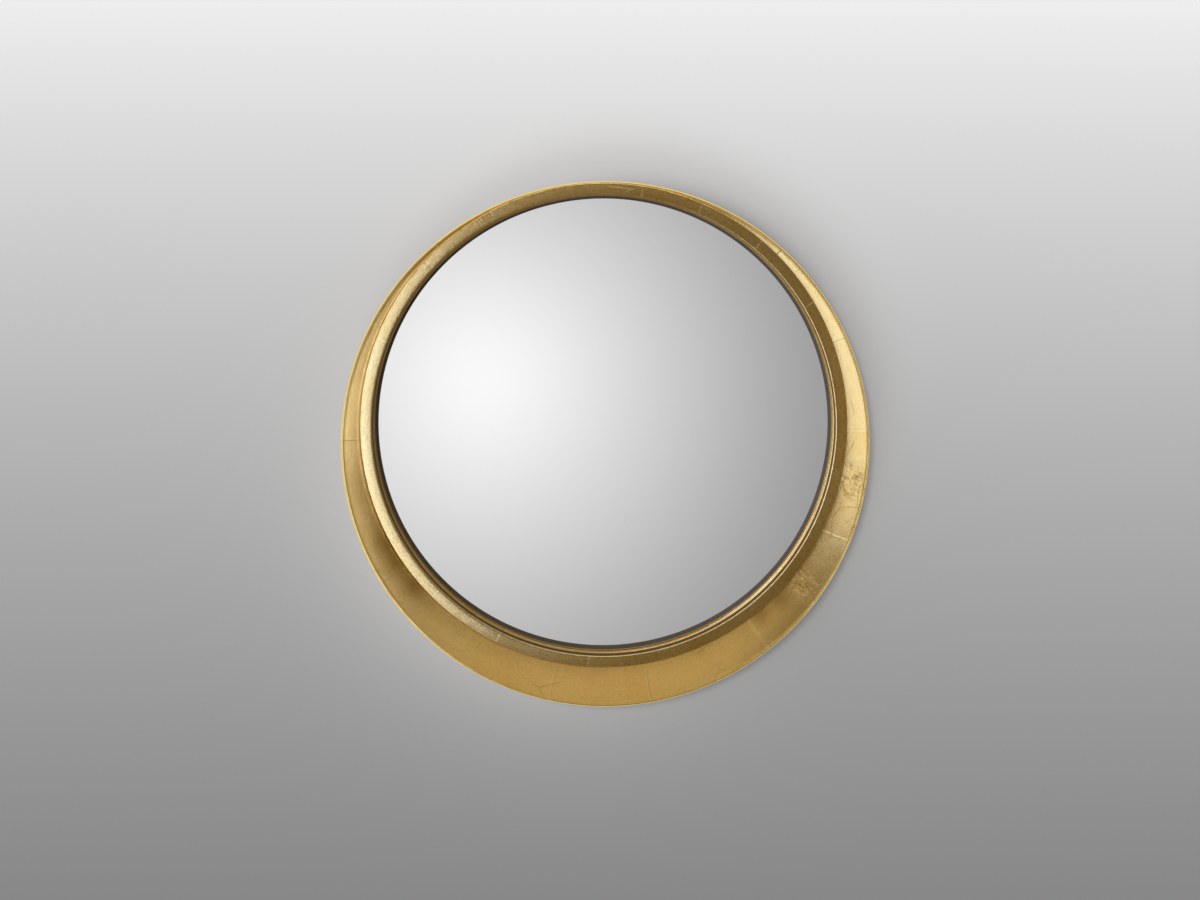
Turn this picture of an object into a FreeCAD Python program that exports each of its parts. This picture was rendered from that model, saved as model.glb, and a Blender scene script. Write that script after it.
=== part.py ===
import FreeCAD, Part
import math
import os
import Sketcher

# A round convex mirror for a wall. Its ring sits off centre in a shallow turned dish, so that
# the dish shows as a crescent under it.
# Millimetres, +Z up. The wall is the plane Y = 0 and the mirror looks along -Y. The origin is on
# the wall, behind the centre of the dish. A depth is a distance out from the wall, along -Y.

doc = FreeCAD.newDocument("crescent_mirror")

# ---- driving dimensions --------------------------------------------------------------------------

DIMENSIONS = {
    # the ring, about its own centre
    "ringRadius": 276.0,  # to the outer arris of the band
    "bandWidth": 10.6,
    "bandRise": 2.2,  # the band's inner edge stands this much further out than its outer edge
    "bandCrown": 60.0,  # radius of the band's slight roundness
    "ringArris": 1.0,
    "throatArris": 1.7,
    "throatTaper": 1.5,
    "ringUndercut": 5.0,
    "undercutHeight": 13.5,
    # the dish, about the origin
    "crescentWidth": 46.5,  # from the ring to the rim, straight down
    "topRim": 1.5,  # the same, straight up
    "rimHeight": 48.0,  # back of the dish to its rim
    "rimRound": 2.4,
    "rimWidth": 4.6,
    "rimStep": 0.7,  # the rim's inner edge lies this far below its top
    "dishReach": 62.0,  # how far in from the rim the hollow runs
    "dishDrop": 15.2,
    "dishCurve": 240.0,  # radius of the hollow's section
    "sideTaper": 2.5,
    "backRound": 1.5,
    "seatHeight": 22.0,  # back of the dish to the ring's seat
    "ringProud": 1.5,  # the ring's outer arris stands this far past the rim
    "rebateLand": 7.5,
    # the slip in the ring's rebate, and the glass behind it
    "slipWidth": 1.8,  # as far as it shows inside the throat
    "slipHeight": 3.3,
    "slipArris": 0.9,
    "slipTaper": 0.8,
    "glassSeat": 30.5,  # back of the dish to the glass, at the edge of the sight
    "glassCurve": 2000.0,
    "glassThickness": 4.0,
    "glassCover": 2.1,
    "glassPlay": 1.0,
    "feltThickness": 1.0,
    "packerCount": 8,
    "packerLength": 14.0,
    "packerHeight": 3.0,
    # the back
    "boardThickness": 3.0,
    "boardPlay": 0.5,
    "retainerThickness": 18.0,
    "retainerWidth": 19.0,
    "foamWidth": 12.0,
    # turn buttons
    "buttonReach": 17.0,
    "buttonHalfWidth": 4.5,
    "buttonThickness": 1.6,
    "buttonInset": 5.5,
    # screws
    "panHeadRadius": 3.1,
    "panHeadHeight": 1.8,
    "panCrownRadius": 2.2,  # of the flat on top of the head
    "shankRadius": 1.5,
    "pointRadius": 0.3,
    "screwLength": 14.0,
    "screwPoint": 2.8,  # how much of its length tapers
    "slotWidth": 0.8,
    "slotDepth": 0.8,
    "ringScrewCount": 8,
    "ringScrewLength": 30.0,
    "ringScrewPoint": 4.2,
    "sunkHeadRadius": 3.3,
    "sunkHeadHeight": 2.0,
    "sunkHeadDrop": 0.2,
    "shankHoleRadius": 1.9,
    # hangers
    "hangerInset": 9.8,
    "strapWidth": 11.0,
    "strapLength": 33.0,
    "strapThickness": 1.2,
    "strapScrewSpacing": 14.0,
    "strapScrewEnd": 6.0,
    "wireRadius": 1.2,
    "loopHalfWidth": 8.6,
    "loopLength": 19.0,
    "loopCorner": 2.6,
    # bumpers
    "wallGap": 8.0,  # bumper height, wall to back of the dish
    "bumperRadius": 9.0,
    "bumperFlare": 1.0,
    "bumperWeb": 2.4,
    "bumperBore": 4.2,
    "bumperInset": 23.0,
    # clearances
    "glueGap": 0.1,  # between fixed faces that are glued or pressed together
    "ringPlay": 0.2,  # the ring in its pocket
    "turnGap": 0.2,  # beside a piece that turns
    "threadPlay": 0.05,
    "tipRoom": 0.6,  # past the point of a screw
    "cutOver": 5.0,  # how far a cut runs on past the piece
}

# Places round the ring, in degrees from straight up. Each is used on the right and on the left.
BUTTON_ANGLES = (52.0, 105.0, 160.0)
HANGER_ANGLE = 74.0
BUMPER_ANGLE = 138.0
SIDES = {"right": 1, "left": -1}

sheet = doc.addObject("Spreadsheet::Sheet", "Sizes")
for row, (name, number) in enumerate(DIMENSIONS.items(), start=1):
    sheet.set("A%d" % row, name)
    sheet.set("B%d" % row, str(number))
    sheet.setAlias("B%d" % row, name)
doc.recompute()


# ---- sizes that carry their expression -----------------------------------------------------------

class Size:
    """A length or an angle, with the sheet expression that gives it."""

    def __init__(self, value, text):
        self.value = value
        self.text = text

    def __add__(self, other):
        other = as_size(other)
        return Size(self.value + other.value, "(%s + %s)" % (self.text, other.text))

    def __sub__(self, other):
        other = as_size(other)
        return Size(self.value - other.value, "(%s - %s)" % (self.text, other.text))

    def __mul__(self, other):
        other = as_size(other)
        return Size(self.value * other.value, "(%s * %s)" % (self.text, other.text))

    def __truediv__(self, other):
        other = as_size(other)
        return Size(self.value / other.value, "(%s / %s)" % (self.text, other.text))

    def __neg__(self):
        return self * -1


def as_size(number):
    return number if isinstance(number, Size) else Size(number, "(%r)" % number)


def dim(name):
    return Size(float(DIMENSIONS[name]), "Sizes.%s" % name)


def root(size):
    return Size(math.sqrt(size.value), "sqrt(%s)" % size.text)


def sine(degrees):
    degrees = as_size(degrees)
    return Size(math.sin(math.radians(degrees.value)), "sin(%s)" % degrees.text)


def cosine(degrees):
    degrees = as_size(degrees)
    return Size(math.cos(math.radians(degrees.value)), "cos(%s)" % degrees.text)


# ---- worked-out sizes ----------------------------------------------------------------------------

dish_radius = dim("ringRadius") + (dim("crescentWidth") + dim("topRim")) / 2
ring_height = (dim("crescentWidth") - dim("topRim")) / 2  # of the ring's centre, above the origin

back = dim("wallGap")
rim = back + dim("rimHeight")
ring_front = rim + dim("ringProud")
seat = back + dim("seatHeight")

throat_mouth = dim("ringRadius") - dim("bandWidth") - dim("throatArris")
throat = throat_mouth - dim("throatTaper")
foot = dim("ringRadius") - dim("ringUndercut")

sight = throat - dim("slipWidth")
glass_radius = sight + dim("glassCover")
bore = glass_radius + dim("glassPlay")
shoulder = back + dim("glassSeat") + dim("slipHeight")  # of the ring's rebate, which the slip meets
screw_circle = (bore + foot) / 2
rebate = bore + dim("rebateLand")
board_front = back + dim("boardThickness")

glass_apex = back + dim("glassSeat") + dim("glassCurve") - root(
    dim("glassCurve") * dim("glassCurve") - sight * sight
)


def glass_face(radius, behind=0):
    """Depth of the glass at a radius: its front face, or a face lying parallel behind it."""
    curve = dim("glassCurve") - behind
    return glass_apex - dim("glassCurve") + root(curve * curve - radius * radius)


# ---- makers --------------------------------------------------------------------------------------

parts = []


def finished(piece, label):
    piece.Label = label
    parts.append(piece)
    return piece


def bind(target, prop, size):
    target.setExpression(prop, as_size(size).text)


def place(piece, x=0, depth=0, z=0, turn=0):
    """Puts a piece at x, z and a depth, turned about Y so that its own +Z leans towards +X."""
    piece.Placement = FreeCAD.Placement(
        FreeCAD.Vector(0, 0, 0), FreeCAD.Rotation(FreeCAD.Vector(0, 1, 0), as_size(turn).value)
    )
    bind(piece, "Placement.Base.x", x)
    bind(piece, "Placement.Base.y", -as_size(depth))
    bind(piece, "Placement.Base.z", z)


def on_ring(radius, angle):
    """X and Z of a point round the ring's centre, at an angle from straight up."""
    return radius * sine(angle), ring_height + radius * cosine(angle)


def origin_plane(body, role):
    return next(item for item in body.Origin.OriginFeatures if item.Role == role)


def section_sketch(body, name, height=0):
    """A sketch in the plane of X and depth, at a height above the body's own centre."""
    sketch = body.newObject("Sketcher::SketchObject", name)
    sketch.AttachmentSupport = [(origin_plane(body, "XY_Plane"), "")]
    sketch.MapMode = "FlatFace"
    sketch.AttachmentOffset = FreeCAD.Placement(
        FreeCAD.Vector(0, 0, 0), FreeCAD.Rotation(FreeCAD.Vector(1, 0, 0), 180)
    )
    bind(sketch, "AttachmentOffset.Base.z", height)
    return sketch


def face_sketch(body, name, depth):
    """A sketch in the plane of X and Z, at a depth; its normal points away from the wall."""
    sketch = body.newObject("Sketcher::SketchObject", name)
    sketch.AttachmentSupport = [(origin_plane(body, "XZ_Plane"), "")]
    sketch.MapMode = "FlatFace"
    bind(sketch, "AttachmentOffset.Base.z", depth)
    return sketch


def hold(sketch, kind, size, *where):
    """Adds a driving constraint and binds it to the sheet."""
    size = as_size(size)
    index = sketch.addConstraint(Sketcher.Constraint(kind, *where, size.value))
    name = "size%d" % index
    sketch.renameConstraint(index, name)
    bind(sketch, "Constraints.%s" % name, size)


def hold_point(sketch, edge, end, x, y):
    """Ties a point to the sketch's origin; a zero keeps it on the axis."""
    for kind, axis, size in (("DistanceX", -2, x), ("DistanceY", -1, y)):
        if as_size(size).value == 0:
            sketch.addConstraint(Sketcher.Constraint("PointOnObject", edge, end, axis))
        else:
            hold(sketch, kind, size, -1, 1, edge, end)


def arc_between(start, end, bend):
    """The shorter arc from start to end; a positive bend turns left of the way along it."""
    chord = end - start
    middle = (start + end) * 0.5
    rise = math.sqrt(bend * bend - chord.Length ** 2 / 4)
    left = FreeCAD.Vector(-chord.y, chord.x, 0).normalize()
    centre = middle + left * rise * (1 if bend > 0 else -1)
    first, last = (start, end) if bend > 0 else (end, start)
    angles = [math.atan2(point.y - centre.y, point.x - centre.x) for point in (first, last)]
    circle = Part.Circle(centre, FreeCAD.Vector(0, 0, 1), abs(bend))
    return Part.ArcOfCircle(circle, *angles)


def outline(sketch, corners):
    """A closed outline through corners (x, y), or (x, y, bend) where an arc leads to the next."""
    points = [FreeCAD.Vector(as_size(x).value, as_size(y).value, 0) for x, y, *bend in corners]
    ends = []
    for number, (x, y, *bend) in enumerate(corners):
        start, end = points[number], points[(number + 1) % len(points)]
        if bend:
            edge = sketch.addGeometry(arc_between(start, end, as_size(bend[0]).value))
            ends.append((edge, 1, 2) if as_size(bend[0]).value > 0 else (edge, 2, 1))
        else:
            edge = sketch.addGeometry(Part.LineSegment(start, end))
            ends.append((edge, 1, 2))
    for number, (edge, first, last) in enumerate(ends):
        after, after_first, after_last = ends[(number + 1) % len(ends)]
        sketch.addConstraint(Sketcher.Constraint("Coincident", edge, last, after, after_first))
    for (edge, first, last), (x, y, *bend) in zip(ends, corners):
        hold_point(sketch, edge, first, x, y)
        if bend:
            size = as_size(bend[0])
            hold(sketch, "Radius", size if size.value > 0 else -size, edge)


def circle_in(sketch, x, y, radius):
    centre = FreeCAD.Vector(as_size(x).value, as_size(y).value, 0)
    circle = Part.Circle(centre, FreeCAD.Vector(0, 0, 1), as_size(radius).value)
    edge = sketch.addGeometry(circle)
    hold_point(sketch, edge, 3, x, y)
    hold(sketch, "Radius", radius, edge)


def turned(label, corners):
    """A body turned about its own Y axis from an outline of radius and depth."""
    body = doc.addObject("PartDesign::Body", label)
    sketch = section_sketch(body, label + "_section")
    outline(sketch, corners)
    turning = body.newObject("PartDesign::Revolution", label + "_turning")
    turning.Profile = sketch
    turning.ReferenceAxis = (sketch, ["V_Axis"])
    turning.Angle = 360
    return finished(body, label)


def turned_cut(body, name, corners, height=0, centre=None):
    """Turns an outline out of a body, about V at a height, or about a line at centre in X."""
    sketch = section_sketch(body, name + "_section", height)
    if centre is not None:
        line = Part.LineSegment(
            FreeCAD.Vector(centre.value, 0, 0), FreeCAD.Vector(centre.value, 1, 0)
        )
        edge = sketch.addGeometry(line, True)
        hold_point(sketch, edge, 1, centre, 0)
        hold_point(sketch, edge, 2, centre, 1)
    outline(sketch, corners)
    cut = body.newObject("PartDesign::Groove", name)
    cut.Profile = sketch
    cut.ReferenceAxis = (sketch, ["V_Axis" if centre is None else "Axis0"])
    cut.Angle = 360
    return cut, sketch


def repeat_round(body, feature, sketch, count):
    """Repeats a feature in equal steps about the V axis of its sketch."""
    pattern = body.newObject("PartDesign::PolarPattern", feature.Name + "_ring")
    pattern.Originals = [feature]
    pattern.Axis = (sketch, ["V_Axis"])
    pattern.Angle = 360
    bind(pattern, "Occurrences", count)
    body.Tip = pattern
    return pattern


def rod(radius, length, x=0, depth=0, z=0, end_radius=None):
    """A round bar, or a cone, that starts at a depth and runs away from the wall."""
    kind = "Part::Cylinder" if end_radius is None else "Part::Cone"
    bar = doc.addObject(kind, "bar")
    if end_radius is None:
        bind(bar, "Radius", radius)
    else:
        bind(bar, "Radius1", radius)
        bind(bar, "Radius2", end_radius)
    bind(bar, "Height", length)
    bar.Placement = FreeCAD.Placement(
        FreeCAD.Vector(0, 0, 0), FreeCAD.Rotation(FreeCAD.Vector(1, 0, 0), 90)
    )
    bind(bar, "Placement.Base.x", x)
    bind(bar, "Placement.Base.y", -as_size(depth))
    bind(bar, "Placement.Base.z", z)
    return bar


def block(width, length, thickness, bottom=0, depth=0):
    """A flat bar, centred on X, from a height up and from a depth away from the wall."""
    bar = doc.addObject("Part::Box", "block")
    bind(bar, "Length", width)
    bind(bar, "Width", thickness)
    bind(bar, "Height", length)
    bind(bar, "Placement.Base.x", -as_size(width) / 2)
    bind(bar, "Placement.Base.y", -(as_size(depth) + thickness))
    bind(bar, "Placement.Base.z", bottom)
    return bar


def fused(*shapes):
    joined = doc.addObject("Part::MultiFuse", "joined")
    joined.Shapes = list(shapes)
    return joined


def less(base, *tools):
    tool = tools[0] if len(tools) == 1 else fused(*tools)
    rest = doc.addObject("Part::Cut", "rest")
    rest.Base = base
    rest.Tool = tool
    return rest


def together(label, pieces):
    group = doc.addObject("Part::Compound", label)
    group.Links = pieces
    return finished(group, label)


# ---- the dish ------------------------------------------------------------------------------------

def make_dish():
    rim_inner = dish_radius - dim("rimWidth")
    hollow_end = dish_radius - dim("dishReach")
    body = turned("crescent_dish", [
        (0, back),
        (dish_radius - dim("sideTaper") - dim("backRound"), back, dim("backRound")),
        (dish_radius - dim("sideTaper"), back + dim("backRound")),
        (dish_radius, rim - dim("rimRound"), dim("rimRound")),
        (dish_radius - dim("rimRound"), rim),
        (rim_inner, rim - dim("rimStep"), -dim("dishCurve")),
        (hollow_end, rim - dim("dishDrop")),
        (0, rim - dim("dishDrop")),
    ])
    # the well: rebate for the backboard, bore for the glass, pocket and flare for the ring
    flare = rim + dim("cutOver")
    lean = dim("ringUndercut") / (dim("undercutHeight") - dim("ringArris"))
    pocket = foot + dim("ringPlay")
    knee = ring_front - dim("undercutHeight")
    turned_cut(body, "dish_well", [
        (0, back - dim("cutOver")),
        (rebate, back - dim("cutOver")),
        (rebate, board_front),
        (bore, board_front),
        (bore, seat),
        (pocket, seat),
        (pocket, knee),
        (pocket + (flare - knee) * lean, flare),
        (0, flare),
    ], height=ring_height)
    # shank holes for the ring's screws, countersunk in the floor of the rebate
    sink = board_front + dim("sunkHeadDrop")
    head = dim("sunkHeadRadius") + dim("glueGap")
    hole = dim("shankHoleRadius")
    hole_cut, hole_sketch = turned_cut(body, "dish_shank_hole", [
        (screw_circle, back),
        (screw_circle + head, back),
        (screw_circle + head, sink),
        (screw_circle + hole, sink + dim("sunkHeadHeight")),
        (screw_circle + hole, seat + dim("tipRoom")),
        (screw_circle, seat + dim("tipRoom")),
    ], height=ring_height, centre=screw_circle)
    repeat_round(body, hole_cut, hole_sketch, dim("ringScrewCount"))
    # pilot holes in the back, for the screws of the buttons, hangers and bumpers
    pilots = face_sketch(body, "dish_pilots", back)
    for x, z in back_screw_places():
        circle_in(pilots, x, z, dim("shankRadius") + dim("threadPlay"))
    pilot_cut = body.newObject("PartDesign::Pocket", "dish_pilot_holes")
    pilot_cut.Profile = pilots
    pilot_cut.Reversed = True
    bind(pilot_cut, "Length", dim("screwLength") + dim("tipRoom"))
    body.Tip = pilot_cut
    return body


def button_places():
    """Place and angle of each turn button: down the right side, then down the left."""
    radius = rebate + dim("buttonInset")
    return [
        (*on_ring(radius, side * angle), side * angle)
        for side in SIDES.values() for angle in BUTTON_ANGLES
    ]


def hanger_place(side):
    return on_ring(rebate + dim("hangerInset"), side * HANGER_ANGLE)


def hanger_screw_places(side):
    """The two screws of a strap, one above the other along its slope."""
    x, z = hanger_place(side)
    first = strap_low + dim("strapScrewEnd")
    lean = side * (HANGER_ANGLE - 90)
    return [
        (x + up * sine(lean), z + up * cosine(lean))
        for up in (first, first + dim("strapScrewSpacing"))
    ]


def bumper_place(side):
    return on_ring(rebate + dim("bumperInset"), side * BUMPER_ANGLE)


def back_screw_places():
    places = [(x, z) for x, z, angle in button_places()]
    for side in SIDES.values():
        places += hanger_screw_places(side)
        places.append(bumper_place(side))
    return places


# ---- the ring and its slip -----------------------------------------------------------------------

def make_ring():
    arris = dim("ringArris")
    band_inner = dim("ringRadius") - dim("bandWidth")
    band_top = ring_front + dim("bandRise")
    body = turned("ring_moulding", [
        (bore, seat),
        (foot, seat),
        (foot, ring_front - dim("undercutHeight")),
        (dim("ringRadius"), ring_front - arris, arris),
        (dim("ringRadius") - arris, ring_front, dim("bandCrown")),
        (band_inner, band_top, dim("throatArris")),
        (throat_mouth, band_top - dim("throatArris")),
        (throat, shoulder),
        (bore, shoulder),
    ])
    pilot = dim("shankRadius") + dim("threadPlay")
    point = board_front + dim("sunkHeadDrop") + dim("ringScrewLength") + dim("tipRoom")
    pilot_cut, pilot_sketch = turned_cut(body, "ring_pilot_hole", [
        (screw_circle, back),
        (screw_circle + pilot, back),
        (screw_circle + pilot, point),
        (screw_circle, point),
    ], centre=screw_circle)
    repeat_round(body, pilot_cut, pilot_sketch, dim("ringScrewCount"))
    place(body, z=ring_height)


def make_slip():
    outer = bore - dim("glueGap")
    front = shoulder - dim("glueGap")
    arris = dim("slipArris")
    felt = dim("feltThickness")
    crest = sight + dim("slipTaper")
    body = turned("sight_slip", [
        (sight, glass_face(sight) + felt),
        (outer, glass_face(outer) + felt),
        (outer, front),
        (crest + arris, front, arris),
        (crest, front - arris),
    ])
    place(body, z=ring_height)


# ---- the glass and what packs it -----------------------------------------------------------------

def make_glass():
    curve = dim("glassCurve")
    thick = dim("glassThickness")
    body = turned("convex_glass", [
        (0, glass_apex - thick),
        (0, glass_apex, -curve),
        (glass_radius, glass_face(glass_radius)),
        (glass_radius, glass_face(glass_radius, behind=thick), curve - thick),
    ])
    place(body, z=ring_height)


def make_felt():
    touch = dim("threadPlay")
    felt = dim("feltThickness") - touch
    body = turned("rebate_felt", [
        (sight + touch, glass_face(sight) + touch),
        (glass_radius, glass_face(glass_radius) + touch),
        (glass_radius, glass_face(glass_radius) + felt),
        (sight + touch, glass_face(sight) + felt),
    ])
    place(body, z=ring_height)


def make_packers():
    """Slips of cork between the edge of the glass and the bore."""
    packers = []
    for number in range(DIMENSIONS["packerCount"]):
        angle = as_size(360 * number) / dim("packerCount")
        play = dim("glueGap")
        sagitta = bore - root(bore * bore - dim("packerLength") * dim("packerLength") / 4)
        packer = doc.addObject("Part::Box", "packer")
        low = glass_face(glass_radius, behind=dim("glassThickness"))
        thickness = dim("glassPlay") - sagitta - play * 2
        bind(packer, "Length", dim("packerLength"))
        bind(packer, "Width", dim("packerHeight"))
        bind(packer, "Height", thickness)
        packer.Placement = FreeCAD.Placement(
            FreeCAD.Vector(0, 0, 0), FreeCAD.Rotation(FreeCAD.Vector(0, 1, 0), angle.value)
        )
        # the box's corner, put where its middle lies on the line at this angle
        radius = glass_radius + play
        half = dim("packerLength") / 2
        bind(packer, "Placement.Rotation.Angle", angle)
        bind(packer, "Placement.Base.x", radius * sine(angle) - half * cosine(angle))
        bind(packer, "Placement.Base.y", -(low + dim("packerHeight")))
        bind(packer, "Placement.Base.z", ring_height + radius * cosine(angle) + half * sine(angle))
        packers.append(packer)
    together("edge_packers", packers)


def make_retainer():
    outer = bore - dim("turnGap")
    front = board_front + dim("retainerThickness")
    retainer = turned("retaining_ring", [
        (outer - dim("retainerWidth"), board_front),
        (outer, board_front),
        (outer, front),
        (outer - dim("retainerWidth"), front),
    ])
    place(retainer, z=ring_height)
    thick = dim("glassThickness")
    play = dim("glueGap")
    foam_inner = glass_radius - dim("foamWidth")
    foam = turned("foam_ring", [
        (foam_inner, front),
        (glass_radius, front),
        (glass_radius, glass_face(glass_radius, behind=thick) - play),
        (foam_inner, glass_face(foam_inner, behind=thick) - play),
    ])
    place(foam, z=ring_height)


def make_backboard():
    board = rod(rebate - dim("boardPlay"), dim("boardThickness"), depth=back, z=ring_height)
    finished(board, "backboard")


# ---- turn buttons --------------------------------------------------------------------------------

def make_button(number, x, z, angle):
    """A plate with round ends. Its pivot is its origin, and it points down its own Z."""
    body = doc.addObject("PartDesign::Body", "turn_button_%d" % number)
    half = dim("buttonHalfWidth")
    reach = dim("buttonReach")
    plate = face_sketch(body, body.Name + "_plan", 0)
    # a quarter, so that each arc is under a half circle
    outline(plate, [
        (half, 0, half),
        (0, half, half),
        (-half, 0),
        (-half, -reach, half),
        (0, -(reach + half), half),
        (half, -reach),
    ])
    circle_in(plate, 0, 0, dim("shankRadius") + dim("turnGap"))
    pad = body.newObject("PartDesign::Pad", body.Name + "_plate")
    pad.Profile = plate
    bind(pad, "Length", dim("buttonThickness"))
    place(body, x, back - dim("turnGap") - dim("buttonThickness"), z, turn=angle)
    finished(body, body.Name)


# ---- screws --------------------------------------------------------------------------------------

def pan_screw(x, z, under_head):
    """A slotted pan head under_head out from the wall, with its shank running into the dish."""
    head_height = dim("panHeadHeight")
    radius = dim("panHeadRadius")
    top = under_head - head_height
    shank_length = dim("screwLength") - dim("screwPoint")
    crown = rod(dim("panCrownRadius"), head_height / 2, x, top, z, end_radius=radius)
    rest = rod(radius, head_height / 2, x, top + head_height / 2, z)
    shank = rod(dim("shankRadius"), shank_length, x, under_head, z)
    point = rod(
        dim("shankRadius"), dim("screwPoint"), x, under_head + shank_length, z,
        end_radius=dim("pointRadius"),
    )
    slot = block(radius * 2, dim("slotWidth"), dim("slotDepth"))
    bind(slot, "Placement.Base.x", x - radius)
    bind(slot, "Placement.Base.y", -(top + dim("slotDepth")))
    bind(slot, "Placement.Base.z", z - dim("slotWidth") / 2)
    return less(fused(crown, rest, shank, point), slot)


def ring_screw(angle):
    """A countersunk screw through the dish into the foot of the ring."""
    x, z = on_ring(screw_circle, angle)
    top = board_front + dim("sunkHeadDrop")
    under_head = top + dim("sunkHeadHeight")
    shank_length = dim("ringScrewLength") - dim("sunkHeadHeight") - dim("ringScrewPoint")
    head = rod(dim("sunkHeadRadius"), dim("sunkHeadHeight"), x, top, z, end_radius=dim("shankRadius"))
    shank = rod(dim("shankRadius"), shank_length, x, under_head, z)
    point = rod(
        dim("shankRadius"), dim("ringScrewPoint"), x, under_head + shank_length, z,
        end_radius=dim("pointRadius"),
    )
    slot = block(dim("sunkHeadRadius") * 2, dim("slotWidth"), dim("slotDepth"))
    bind(slot, "Placement.Base.x", x - dim("sunkHeadRadius"))
    bind(slot, "Placement.Base.y", -(top + dim("slotDepth")))
    bind(slot, "Placement.Base.z", z - dim("slotWidth") / 2)
    return less(fused(head, shank, point), slot)


def make_screws():
    count = DIMENSIONS["ringScrewCount"]
    angles = [as_size(90) + as_size(360 * number) / dim("ringScrewCount") for number in range(count)]
    together("ring_screws", [ring_screw(angle) for angle in angles])
    button_head = back - dim("turnGap") * 2 - dim("buttonThickness")
    together("turn_button_screws", [
        pan_screw(x, z, button_head) for x, z, angle in button_places()
    ])
    together("hanger_screws", [
        pan_screw(x, z, back - dim("strapThickness"))
        for side in SIDES.values() for x, z in hanger_screw_places(side)
    ])
    together("bumper_screws", [
        pan_screw(*bumper_place(side), back - dim("bumperWeb")) for side in SIDES.values()
    ])


# ---- hangers -------------------------------------------------------------------------------------
# Made about the centre of the strap's plate, with the loop at its upper end.

strap_low = -dim("strapLength") / 2
knuckle_radius = dim("wireRadius") + dim("glueGap") + dim("strapThickness")
knuckle_up = -strap_low + knuckle_radius / 2
knuckle_depth = back - knuckle_radius


def crossbar(radius, length, name):
    """A round bar along X through the knuckle."""
    bar = doc.addObject("Part::Cylinder", name)
    bar.Placement = FreeCAD.Placement(
        FreeCAD.Vector(0, 0, 0), FreeCAD.Rotation(FreeCAD.Vector(0, 1, 0), 90)
    )
    bind(bar, "Radius", radius)
    bind(bar, "Height", length)
    bind(bar, "Placement.Base.x", -as_size(length) / 2)
    bind(bar, "Placement.Base.y", -knuckle_depth)
    bind(bar, "Placement.Base.z", knuckle_up)
    return bar


def make_strap(word, side):
    width = dim("strapWidth")
    thickness = dim("strapThickness")
    plate = block(width, knuckle_up - strap_low, thickness, bottom=strap_low, depth=back - thickness)
    knuckle = crossbar(knuckle_radius, width, "knuckle")
    over = dim("cutOver")
    wire_way = crossbar(dim("wireRadius") + dim("glueGap"), width + over, "wire_way")
    holes = [
        rod(dim("shankRadius") + dim("glueGap"), thickness + over * 2,
            depth=back - thickness - over, z=strap_low + dim("strapScrewEnd") + step)
        for step in (0, dim("strapScrewSpacing"))
    ]
    strap = less(fused(plate, knuckle), wire_way, *holes)
    x, z = hanger_place(side)
    place(strap, x, 0, z, turn=side * (HANGER_ANGLE - 90))
    finished(strap, "hanger_strap_" + word)


def make_loop(word, side):
    """A D of round wire: a bar through the knuckle, two corners and a round end."""
    body = doc.addObject("PartDesign::Body", "d_ring_" + word)
    half = dim("loopHalfWidth")
    corner = dim("loopCorner")
    shoulder = dim("loopLength") - half
    path = face_sketch(body, body.Name + "_path", 0)
    outline(path, [
        (-half + corner, 0),
        (half - corner, 0, corner),
        (half, corner),
        (half, shoulder, half),
        (0, dim("loopLength"), half),
        (-half, shoulder),
        (-half, corner, corner),
    ])
    section = body.newObject("Sketcher::SketchObject", body.Name + "_wire")
    section.AttachmentSupport = [(origin_plane(body, "YZ_Plane"), "")]
    section.MapMode = "FlatFace"
    circle_in(section, 0, 0, dim("wireRadius"))
    pipe = body.newObject("PartDesign::AdditivePipe", body.Name + "_sweep")
    pipe.Profile = section
    pipe.Spine = path
    lean = side * (HANGER_ANGLE - 90)
    x, z = hanger_place(side)
    place(body, x + knuckle_up * sine(lean), knuckle_depth, z + knuckle_up * cosine(lean), turn=lean)
    finished(body, body.Name)


# ---- bumpers -------------------------------------------------------------------------------------

def make_bumper(word, side):
    radius = dim("bumperRadius")
    hole = dim("shankRadius") + dim("glueGap")
    web = back - dim("bumperWeb")
    body = turned("wall_bumper_" + word, [
        (hole, web),
        (hole, back),
        (radius, back),
        (radius - dim("bumperFlare"), 0),
        (dim("bumperBore"), 0),
        (dim("bumperBore"), web),
    ])
    x, z = bumper_place(side)
    place(body, x, 0, z)


# ---- making them all -----------------------------------------------------------------------------

make_dish()
make_ring()
make_slip()
make_glass()
make_felt()
make_packers()
make_retainer()
make_backboard()
for index, (button_x, button_z, button_angle) in enumerate(button_places(), start=1):
    make_button(index, button_x, button_z, button_angle)
make_screws()
for side_word, side_sign in SIDES.items():
    make_strap(side_word, side_sign)
    make_loop(side_word, side_sign)
    make_bumper(side_word, side_sign)

doc.recompute()

for item in doc.Objects:
    if "Invalid" in item.State or "Error" in item.State:
        raise RuntimeError("%s did not recompute: %s" % (item.Label, item.State))
for piece in parts:
    if piece.Shape.isNull() or not piece.Shape.isValid():
        raise RuntimeError("%s has no valid shape" % piece.Label)

os.makedirs("parts", exist_ok=True)
for piece in parts:
    piece.Shape.exportStep("parts/%s.step" % piece.Label)
    box = piece.Shape.BoundBox
    print("%-22s %2d solids %10.0f mm3  x %7.1f %7.1f  y %6.1f %6.1f  z %7.1f %7.1f" % (
        piece.Label, len(piece.Shape.Solids), piece.Shape.Volume,
        box.XMin, box.XMax, box.YMin, box.YMax, box.ZMin, box.ZMax,
    ))
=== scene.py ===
import math

import bpy
from mathutils import Matrix, Vector


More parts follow.
